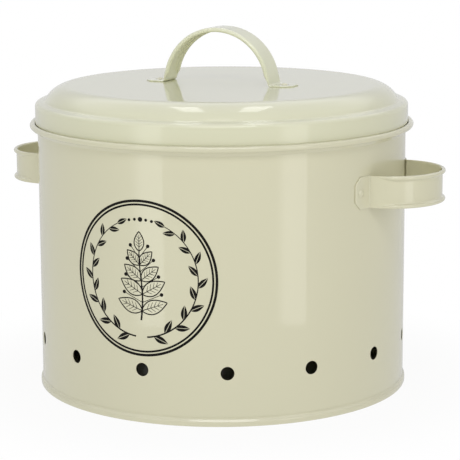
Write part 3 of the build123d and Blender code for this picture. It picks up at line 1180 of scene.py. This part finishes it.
def room_tones(tree, height, tones):
    """A grey light for each height of a direction: tones are pairs of height and strength."""
    share = map_range(tree, height, 0.0, 1.0, start=-1.0)
    ramp = add_node(tree, "ShaderNodeFloatCurve", {"Value": share})
    ramp.mapping.clip_max_y = BRIGHTEST_TONE
    points = ramp.mapping.curves[0].points
    points[0].location = (0, tones[0][1])
    points[1].location = (1, tones[-1][1])
    for level, strength in tones:
        points.new((level + 1) / 2, strength)
    ramp.mapping.update()
    grey = {"Color": WHITE, "Strength": ramp.outputs["Value"]}
    return add(tree, "ShaderNodeBackground", grey)


def build_room():
    """A world that is white to the camera, and softly graded by height to the paint."""
    world = bpy.data.worlds.new("room")
    bpy.context.scene.world = world
    tree = empty_tree(world)
    direction = add_node(tree, "ShaderNodeTexCoord").outputs["Generated"]
    height = add_node(tree, "ShaderNodeSeparateXYZ", {0: direction}).outputs["Z"]
    mirrored = room_tones(tree, height, MIRRORED_TONES)
    lighting = room_tones(tree, height, LIGHTING_TONES)
    white = add(tree, "ShaderNodeBackground", {"Color": WHITE})
    ray = add_node(tree, "ShaderNodeLightPath").outputs
    soft = blend(tree, ray["Is Glossy Ray"], lighting, mirrored)
    direct = math(tree, "MAXIMUM", ray["Is Camera Ray"], ray["Is Transmission Ray"])
    add_node(tree, "ShaderNodeOutputWorld", {"Surface": blend(tree, direct, soft, white)})


build_room()
print("room tones:", len(MIRRORED_TONES), "mirrored,", len(LIGHTING_TONES), "lighting")

# %% [markdown]
# ## Lamps
# Two tall softboxes stand in front, one each side of the camera. Each is dimmer towards one side,
# so its band of light on the wall has one soft edge. They reach down past the table, whose edge
# cuts their bands off above the vents. A third softbox, above the camera, lights the front and the
# lid's shoulder. Two panels hang over the bin, a little behind it, and show as the two bright
# patches on the lid's shoulder.

# %% Light the bin
CAMERA_AZIMUTH = radians(24.41)
BIN_MIDDLE = up * 0.1
SOFTBOX_DISTANCE = 1.5
PANEL_ASIDE = 0.245
PANEL_BEHIND = 0.26
PANEL_HEIGHT = 1.59
PANEL_SIZE = (0.19, 0.77)
PANEL_POWER = 1.45
rightward = Vector((cos(CAMERA_AZIMUTH), sin(CAMERA_AZIMUTH), 0))
forward = Vector((sin(CAMERA_AZIMUTH), -cos(CAMERA_AZIMUTH), 0))


def area_lamp(name, size, power, place, turn, tint=(1, 1, 1)):
    """A rectangular lamp of a width and a length in metres."""
    lamp = bpy.data.lights.new(name, "AREA")
    lamp.shape = "RECTANGLE"
    lamp.size, lamp.size_y = size
    lamp.energy = power
    lamp.color = tint
    holder = new_object(name, lamp)
    holder.location = place
    holder.rotation_euler = turn
    return lamp


def softbox(name, azimuth, elevation, size, power, tint=(1, 1, 1), soft_side=0.0):
    """A lamp at an azimuth from the camera's side, facing the bin, dimmer along one side."""
    turn = CAMERA_AZIMUTH + radians(azimuth)
    rise = radians(elevation)
    away = Vector((sin(turn) * cos(rise), -cos(turn) * cos(rise), sin(rise)))
    place = BIN_MIDDLE + away * SOFTBOX_DISTANCE
    lamp = area_lamp(name, size, power, place, (-away).to_track_quat("-Z", "Y").to_euler(), tint)
    if soft_side:
        lamp.use_nodes = True
        tree = lamp.node_tree
        surface = add_node(tree, "ShaderNodeNewGeometry").outputs["Parametric"]
        across = add(tree, "ShaderNodeSeparateXYZ", {0: surface})
        fade = map_range(tree, across, 0.0, 1.0, end=soft_side, ease="SMOOTHSTEP")
        tree.links.new(fade, tree.nodes["Emission"].inputs["Strength"])


softbox("softbox_left", -46, 8, (0.60, 2.0), 4.6, (0.985, 1.0, 0.985), soft_side=0.5)
softbox("softbox_right", 41, 8, (0.54, 2.0), 4.3, (1.0, 0.985, 0.965), soft_side=0.4)
softbox("softbox_front", 0, 46, (0.9, 0.45), 4.9)
for name, side in (("panel_left", -1), ("panel_right", 1)):
    place = rightward * side * PANEL_ASIDE - forward * PANEL_BEHIND + up * PANEL_HEIGHT
    area_lamp(name, PANEL_SIZE, PANEL_POWER, place, (0, 0, CAMERA_AZIMUTH))

# %% [markdown]
# ## The camera
# The bin was photographed from 1.25 m away and a little above, with a long lens, from a point
# round to the right of the printed front.

# %% Camera
CAMERA_DISTANCE = 1.25086
CAMERA_HEIGHT = 0.342696
CAMERA_PITCH = 0.1924
CAMERA_YAW = 0.0041
CAMERA_ROLL = -0.0045
FOCAL_PIXELS = 1925.6
PICTURE_PIXELS = 460

level = rightward * sin(CAMERA_YAW) - forward * cos(CAMERA_YAW)
look = level * cos(CAMERA_PITCH) - up * sin(CAMERA_PITCH)
right = rightward * cos(CAMERA_YAW) + forward * sin(CAMERA_YAW)
turn = Matrix((right, right.cross(look), -look)).transposed().to_4x4()

lens = bpy.data.cameras.new("camera")
lens.sensor_width = 36
lens.lens = FOCAL_PIXELS / PICTURE_PIXELS * lens.sensor_width
camera = new_object("camera", lens)
place = Matrix.Translation(forward * CAMERA_DISTANCE + up * CAMERA_HEIGHT)
camera.matrix_world = place @ turn @ Matrix.Rotation(CAMERA_ROLL, 4, "Z")
bpy.context.scene.camera = camera
bpy.context.scene.view_settings.view_transform = "Standard"
print(f"lens {lens.lens:.1f} mm")

# %% [markdown]
# ## Finish
# The box of the dressed bin is written beside the box of the solids, so the two can be compared.

# %% Write the sizes and finish
new_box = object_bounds()
for corner, grown in (("top", new_box[1] - cad_box[1]), ("low", cad_box[0] - new_box[0])):
    print("grown by", [round(step / mm, 3) for step in grown], "mm at the", corner, "corner")
